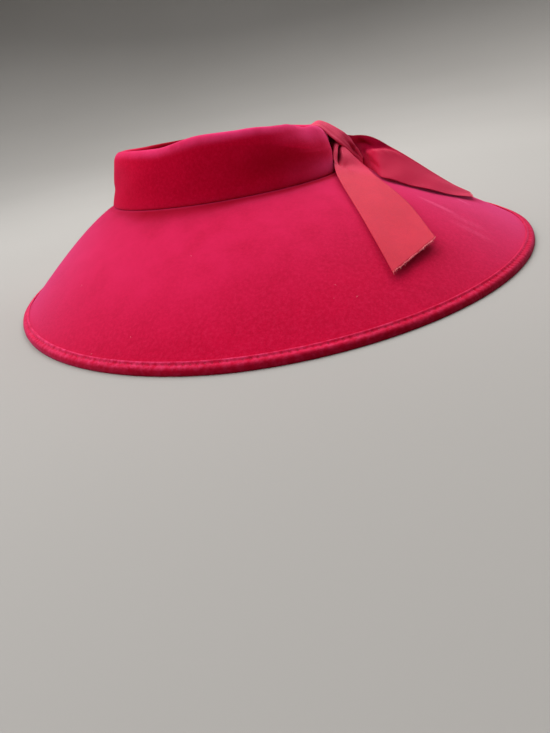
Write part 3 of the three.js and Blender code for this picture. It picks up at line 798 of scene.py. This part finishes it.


# ---- Materials ----
# Colours are linear red, green and blue.
# each dye's highlight colour is the felt under painted highlight
BRIM_DYE = {"lit": (0.665, 0.0006, 0.04), "deep": (0.525, 0.0004, 0.028),
            "pale": (0.85, 0.06, 0.17), "raised": (0.745, 0.012, 0.086)}
CROWN_DYE = {"lit": (0.76, 0.0003, 0.04), "deep": (0.62, 0.0002, 0.029),
             "pale": (0.85, 0.03, 0.13), "raised": (1, 0.055, 0.23)}
# colour of the felt under painted shade
FLAT_NAP = (0.3, 0.0002, 0.01)
CRUSHED_NAP = (0.95, 0.13, 0.28)
VELVET_LIT, VELVET_DEEP = (0.7, 0.001, 0.04), (0.54, 0.0006, 0.026)
# colours under the binding's painted shade, its stitch dimples' painted shade and its painted
# highlight
VELVET_LAID, VELVET_CAUGHT = (0.24, 0.0002, 0.01), (0.3, 0.0002, 0.012)
VELVET_RAISED = (0.9, 0.055, 0.19)
RIBBON_LIT, RIBBON_DEEP = (0.9, 0.033, 0.076), (0.8, 0.026, 0.06)
RIBBON_MOTTLE = (0.72, 0.016, 0.075)
# the second colour is the far tail's painted shade
RIBBON_ROSY, RIBBON_DUSKY = (0.9, 0.034, 0.125), (0.66, 0.008, 0.064)
# colours of the ribbon's painted highlight and painted shade
RIBBON_WORN, RIBBON_FRESH = (1, 0.06, 0.16), (0.06, 0.0002, 0.004)
# painted shade in the grooves between the ribs
RIBBON_GROOVE = (0.3, 0.012, 0.03)
RIB, WARP = 0.00085, 0.00032  # metres from rib to rib, and from cord to cord


class Nodes:
    """A short way to write a material's node tree."""

    def __init__(self, name):
        self.material = bpy.data.materials.new(name)
        self.material.use_nodes = True
        self.tree = self.material.node_tree
        self.tree.nodes.clear()
        self.shader = self.add("ShaderNodeBsdfPrincipled")
        out = self.add("ShaderNodeOutputMaterial")
        self.link(self.shader.outputs["BSDF"], out.inputs["Surface"])

    def add(self, kind, **values):
        node = self.tree.nodes.new(kind)
        for key, value in values.items():
            setattr(node, key, value)
        return node

    def link(self, source, target):
        self.tree.links.new(source, target)

    def drive(self, **sources):
        """Links sources to the shader's sockets."""
        for key, source in sources.items():
            self.link(source, self.shader.inputs[key.replace("_", " ")])

    def set(self, **values):
        """Sets the shader's sockets that are the same all over."""
        for key, value in values.items():
            self.shader.inputs[key.replace("_", " ")].default_value = value

    def place(self):
        return self.add("ShaderNodeTexCoord").outputs["Object"]

    def attributes(self, *names):
        return [self.add("ShaderNodeAttribute", attribute_name=name).outputs["Fac"]
                for name in names]

    def noise(self, vector, scale, detail=3, roughness=0.55):
        node = self.add("ShaderNodeTexNoise")
        self.link(vector, node.inputs["Vector"])
        node.inputs["Scale"].default_value = scale
        node.inputs["Detail"].default_value = detail
        node.inputs["Roughness"].default_value = roughness
        return node.outputs["Fac"]

    def math(self, operation, *values):
        node = self.add("ShaderNodeMath", operation=operation)
        for socket, value in zip(node.inputs, values):
            if isinstance(value, (int, float)):
                socket.default_value = value
            else:
                self.link(value, socket)
        return node.outputs[0]

    def plus(self, a, b):
        return self.math("ADD", a, b)

    def times(self, a, b):
        return self.math("MULTIPLY", a, b)

    def spread(self, value, low, high, new_low, new_high):
        """Spreads the range from low to high over a new one."""
        node = self.add("ShaderNodeMapRange")
        self.link(value, node.inputs["Value"])
        for key, v in zip(("From Min", "From Max", "To Min", "To Max"),
                          (low, high, new_low, new_high)):
            node.inputs[key].default_value = v
        return node.outputs["Result"]

    def vary(self, noise, new_low, new_high):
        """Spreads the usual range of a noise over a new one."""
        return self.spread(noise, 0.3, 0.7, new_low, new_high)

    def mix(self, factor, a, b):
        """Mix of two colours; each is a colour tuple or a socket."""
        node = self.add("ShaderNodeMix", data_type="RGBA")
        factor_in = next(s for s in node.inputs if s.type == "VALUE" and s.enabled)
        self.link(factor, factor_in)
        for socket, value in zip((s for s in node.inputs if s.type == "RGBA"), (a, b)):
            if isinstance(value, tuple):
                socket.default_value = (*value, 1)
            else:
                self.link(value, socket)
        return next(s for s in node.outputs if s.type == "RGBA")

    def bump(self, height, strength, distance, onto=None):
        node = self.add("ShaderNodeBump")
        self.link(height, node.inputs["Height"])
        node.inputs["Strength"].default_value = strength
        node.inputs["Distance"].default_value = distance
        if onto is not None:
            self.link(onto, node.inputs["Normal"])
        return node.outputs["Normal"]


def felt_material(name, dye, sheen):
    """Velour felt: a short pile with broad brushed patches, fine grain and a pink sheen,
    darkened by painted shade and lightened by painted highlight.
    """
    n = Nodes(name)
    at = n.place()
    patches = n.noise(at, 11, 3, 0.5)
    brushed = n.noise(at, 55, 4, 0.6)
    grain = n.noise(at, 420, 5, 0.7)
    fine = n.noise(at, 950, 2, 0.6)
    pile = n.noise(at, 1500, 2, 0.6)
    tone = n.plus(n.vary(patches, 0, 0.4), n.vary(brushed, 0, 0.35))
    tone = n.plus(n.plus(tone, n.vary(grain, -0.1, 0.55)), n.vary(fine, -0.3, 0.3))
    colour = n.mix(tone, dye["deep"], dye["lit"])
    colour = n.mix(n.spread(grain, 0.45, 0.8, 0, 0.18), colour, dye["pale"])
    # painted shade darkens the felt and painted highlight lightens it
    pressed, nap, crush = n.attributes("pressed", "nap", "crush")
    colour = n.mix(pressed, colour, FLAT_NAP)
    uneven = n.plus(n.vary(patches, 0.1, 0.55), n.vary(brushed, 0.1, 0.55))
    # painted highlight lightens it, unevenly
    colour = n.mix(n.times(nap, uneven), colour, dye["raised"])
    ragged = n.times(crush, n.spread(grain, 0.3, 0.6, 0.4, 1))
    colour = n.mix(ragged, colour, CRUSHED_NAP)
    # the sheen is stronger under painted highlight and weaker under painted shade
    silk = n.times(n.spread(nap, 0, 1, *sheen), n.spread(pressed, 0.35, 0.85, 1, 0.1))
    normal = n.bump(pile, 0.25, 0.0004, n.bump(brushed, 0.2, 0.0006))
    n.drive(Base_Color=colour, Roughness=n.vary(grain, 0.82, 0.96), Normal=normal,
            Sheen_Weight=silk)
    n.set(Specular_IOR_Level=0.04, Sheen_Roughness=0.42, Sheen_Tint=(1, 0.14, 0.42, 1))
    return n.material


def velvet_material():
    """Velvet of the edge binding: darker than the felt, with crushed streaks, painted highlight
    along the ridges and painted shade on its sides and in the stitch dimples.
    """
    n = Nodes("binding velvet")
    at = n.place()
    crushed = n.noise(at, 230, 5, 0.7)
    broad = n.noise(at, 45, 3, 0.5)
    pile = n.noise(at, 1900, 2)
    caught, rubbed, laid = n.attributes("caught", "rubbed", "laid")
    # painted shade darkens the sides and painted highlight lightens the ridges
    colour = n.mix(n.vary(broad, 0, 0.8), VELVET_DEEP, VELVET_LIT)
    colour = n.mix(n.times(laid, 0.8), colour, VELVET_LAID)
    streaks = n.times(n.spread(crushed, 0.44, 0.66, 0, 1), 0.18)
    raised = n.plus(n.times(rubbed, n.spread(crushed, 0.35, 0.65, 0.1, 0.95)), streaks)
    colour = n.mix(raised, colour, VELVET_RAISED)
    # painted shade in the stitch dimples
    colour = n.mix(n.times(caught, 0.3), colour, VELVET_CAUGHT)
    normal = n.bump(pile, 0.3, 0.0003, n.bump(crushed, 0.5, 0.0007))
    n.drive(Base_Color=colour, Roughness=n.vary(crushed, 0.9, 0.65), Normal=normal,
            Sheen_Weight=n.spread(laid, 0, 1, 0.8, 0.25))
    n.set(Specular_IOR_Level=0.06, Sheen_Roughness=0.36, Sheen_Tint=(1, 0.14, 0.4, 1))
    return n.material


def grosgrain_material():
    """Grosgrain: fine ribs across the ribbon, cords along it and a low silky gloss."""
    n = Nodes("grosgrain")
    parts = n.add("ShaderNodeSeparateXYZ")
    n.link(n.add("ShaderNodeUVMap", uv_map="RibbonLength").outputs["UV"], parts.inputs[0])
    across, along = parts.outputs["X"], parts.outputs["Y"]
    at = n.place()
    cloud = n.noise(at, 38, 3, 0.5)
    soft = n.noise(at, 90, 3)
    uneven = n.noise(at, 160, 2)
    mottle = n.noise(at, 260, 4, 0.65)
    thread = n.noise(at, 900, 2, 0.5)
    rib = n.plus(along, n.times(uneven, 0.00025))
    rib = n.math("SINE", n.times(rib, 2 * math.pi / RIB))
    warp = n.math("SINE", n.times(across, 2 * math.pi / WARP))
    rosy, dusky, worn, fresh = n.attributes("rosy", "dusky", "worn", "fresh")
    colour = n.mix(n.vary(cloud, 0, 1), RIBBON_DEEP, RIBBON_LIT)
    colour = n.mix(n.spread(mottle, 0.35, 0.65, 0, 0.3), colour, RIBBON_MOTTLE)
    grooves = n.plus(n.spread(rib, -1, 1, 0.28, 0), n.vary(thread, 0.1, 0))
    # after the rosy shift come painted shade on the far tail, painted highlight, painted shade
    # in the grooves and painted shade in the folds
    for factor, shade in ((rosy, RIBBON_ROSY), (dusky, RIBBON_DUSKY), (worn, RIBBON_WORN),
                          (grooves, RIBBON_GROOVE), (fresh, RIBBON_FRESH)):
        colour = n.mix(factor, colour, shade)
    height = n.plus(n.times(rib, 0.5), n.times(warp, 0.12))
    normal = n.bump(height, 0.55, 0.00012, n.bump(soft, 0.15, 0.0008))
    gloss = n.spread(n.plus(fresh, n.times(dusky, 0.5)), 0, 1, 0.12, 0)
    n.drive(Base_Color=colour, Roughness=n.spread(rib, -1, 1, 0.75, 0.5), Normal=normal,
            Specular_IOR_Level=gloss, Sheen_Weight=gloss)
    n.set(Sheen_Roughness=0.45, Sheen_Tint=(1, 0.4, 0.7, 1))
    return n.material


def thread_material(name, colour, pale):
    n = Nodes(name)
    uneven = n.noise(n.place(), 400, 2)
    n.drive(Base_Color=n.mix(n.spread(uneven, 0.35, 0.65, 0, 1), colour, pale))
    n.set(Roughness=0.7, Specular_IOR_Level=0.3, Sheen_Weight=0.3)
    return n.material


def floor_material():
    n = Nodes("studio floor")
    soft = n.noise(n.place(), 1.3, 2, 0.5)
    n.drive(Base_Color=n.mix(n.vary(soft, 0, 1), (0.4, 0.385, 0.365),
                             (0.44, 0.425, 0.405)))
    n.set(Roughness=0.85, Specular_IOR_Level=0.2)
    return n.material


# ---- Stage, in metres ----
def make_stage():
    """A plain pale floor that sweeps up all round, so that no horizon shows."""
    flat, sweep, top, around = 0.9, 1.5, 2.6, 96
    level = -0.0001  # a hair under the hat, so that no two faces share a plane
    profile = [(r, 0) for r in (0.25, 0.6, flat)]
    for a in np.linspace(0, math.pi / 2, 14)[1:]:
        profile.append((flat + sweep * math.sin(a), sweep * (1 - math.cos(a))))
    profile.append((flat + sweep, top))
    angle = np.linspace(0, 2 * np.pi, around, endpoint=False)
    rings = [stack(r * np.cos(angle), r * np.sin(angle), z + level) for r, z in profile]
    points = np.vstack([[(0, 0, level)], *rings])
    fan = [[0, 1 + i, 1 + (i + 1) % around] for i in range(around)]
    faces = [*fan, *(ring_faces(len(rings), around)[:-around] + 1)]
    floor = add_mesh("studio_floor", points, faces, floor_material())


def area_light(name, place, aim, size, power, colour):
    light = bpy.data.lights.new(name, "AREA")
    light.shape = "RECTANGLE"
    light.size, light.size_y = size
    light.energy = power
    light.color = colour
    obj = bpy.data.objects.new(name, light)
    obj.location = place
    obj.rotation_mode = "QUATERNION"
    obj.rotation_quaternion = (Vector(aim) - Vector(place)).to_track_quat("-Z", "Y")
    obj.visible_camera = False
    bpy.context.scene.collection.objects.link(obj)


def make_lights():
    """Wide soft lights above the hat, named as the camera sees them."""
    aim, size, high = (0, 0, 0.05), (1.2, 1.2), 1.12
    cool, warm = (0.99, 0.995, 1), (1, 0.99, 0.98)
    area_light("window side", (0, 0.755, high), aim, size, 14.2, cool)
    area_light("back", (0.755, 0, high), aim, size, 10.8, warm)
    area_light("back right", (0.534, -0.534, high), aim, size, 8, warm)
    area_light("near left", (-0.534, 0.534, high), aim, size, 2.2, warm)
    area_light("backdrop", (0.3, 0, 1.6), (2.4, 0, 1.3), (1.6, 1), 2.4, (1, 0.98, 0.95))
    world = bpy.data.worlds.new("studio")
    world.use_nodes = True
    back = world.node_tree.nodes["Background"]
    back.inputs["Color"].default_value = (0.95, 0.97, 1, 1)
    back.inputs["Strength"].default_value = 0.02
    bpy.context.scene.world = world


# The camera stands off the wearer's right side, a little to the front, and looks down on it.
CAMERA_PLACE = (-489.36, -74.21, 133.37)  # mm, before the hat is centred
CAMERA_RIGHT = (0.09456, -0.98153, -0.1663)
CAMERA_DOWN = (-0.46146, 0.10481, -0.88095)
CAMERA_AHEAD = (0.88211, 0.16005, -0.44302)
SENSOR, LENS = 36, 27.012278


def make_camera():
    data = bpy.data.cameras.new("camera")
    data.sensor_width, data.lens = SENSOR, LENS
    data.clip_start, data.clip_end = 0.01, 20
    camera = bpy.data.objects.new("camera", data)
    x, y, z = Vector(CAMERA_RIGHT), -Vector(CAMERA_DOWN), -Vector(CAMERA_AHEAD)
    turn = Matrix((x, y, z)).transposed().to_4x4()
    place = Vector(CAMERA_PLACE) + Vector((0, SHIFT_Y, 0))
    camera.matrix_world = Matrix.Translation(place * MM) @ turn
    bpy.context.scene.collection.objects.link(camera)
    bpy.context.scene.camera = camera


# ---- The hat ----
make_camera()
make_stage()
make_lights()
bpy.context.scene.view_settings.view_transform = "Standard"

felt = felt_material("velour felt", BRIM_DYE, sheen=(1, 1))
crown_felt = felt_material("velour felt of the crown", CROWN_DYE, sheen=(0.3, 1))
velvet = velvet_material()
grosgrain = grosgrain_material()
stitch_thread = thread_material("stitching thread", (0.5, 0.004, 0.03), (0.9, 0.16, 0.28))
fray_thread = thread_material("frayed thread", (0.94, 0.1, 0.15), (0.98, 0.24, 0.29))
lint_thread = thread_material("lint", (0.85, 0.35, 0.45), (0.9, 0.5, 0.6))

brim = make_brim(felt)
binding, stitch_places = make_binding(velvet)
stitches = make_stitches(stitch_places, stitch_thread)
crown = make_crown(crown_felt)
bow, bow_grid, bow_length = make_bow(grosgrain)
frays = make_frays(bow_grid, fray_thread)
strap, strap_length = make_strap(grosgrain)
lint = make_lint(lint_thread)

PIECES = [  # piece, material slot, solids that it replaces
    (brim, "felt", ["brim"]),
    (binding, "binding_velvet", ["brim_binding"]),
    (stitches, "binding_velvet", []),
    (crown, "felt", ["crown"]),
    (bow, "grosgrain", ["ribbon_bow"]),
    (frays, "grosgrain", []),
    (strap, "grosgrain", ["ribbon_strap"]),
    (lint, "felt", []),
]
for piece, slot, solids in PIECES:
    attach(piece, "root")
    if solids:
        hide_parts(*solids)
